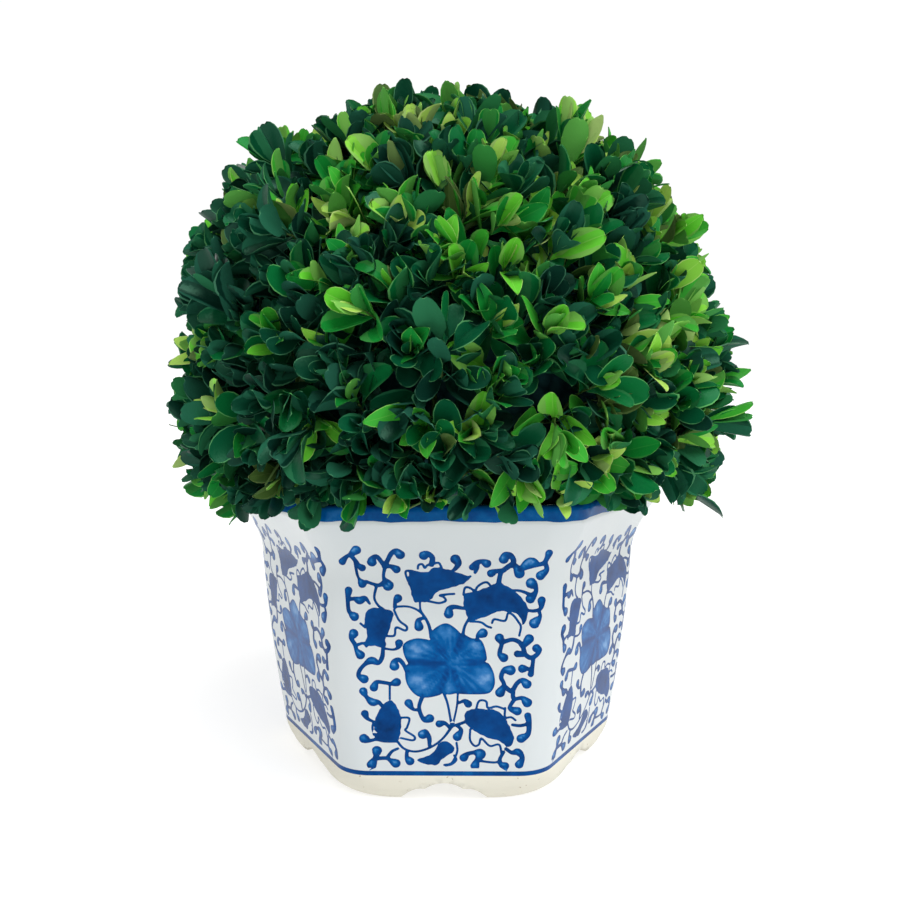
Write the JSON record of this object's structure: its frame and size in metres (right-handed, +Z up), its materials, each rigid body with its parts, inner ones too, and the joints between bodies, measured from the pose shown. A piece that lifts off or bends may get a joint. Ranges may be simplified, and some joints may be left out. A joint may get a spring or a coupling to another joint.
{
  "type": "potted box topiary ball",
  "caption": "Box bush clipped to a ball on a short stem, growing in a six-sided porcelain planter with a flared lip, bracket feet and painted blue and white sides.",
  "frame": {"origin": "on the ground, under the middle of the planter", "axes": "+Z up along the planter's axis and the trunk; a flat side of the planter faces -Y, and two of its corners lie on the X axis"},
  "size_m": [0.3021, 0.2979, 0.3607],
  "materials": {
    "porcelain": "clear gloss glaze over white porcelain, with cobalt blue painting under it and a bare ivory foot",
    "soil": "dark crumbly potting soil",
    "bark": "pale grey-brown fissured bark",
    "leaf": "leathery leaves with a satin upper face, dark to yellow green"
  },
  "bodies": {
    "root": {"pot": "porcelain", "soil": "soil", "trunk": "bark", "bough_1": "bark", "bough_2": "bark", "bough_3": "bark", "bough_4": "bark", "bough_5": "bark", "bough_6": "bark", "bough_7": "bark", "foliage": "leaf"}
  },
  "joints": []
}
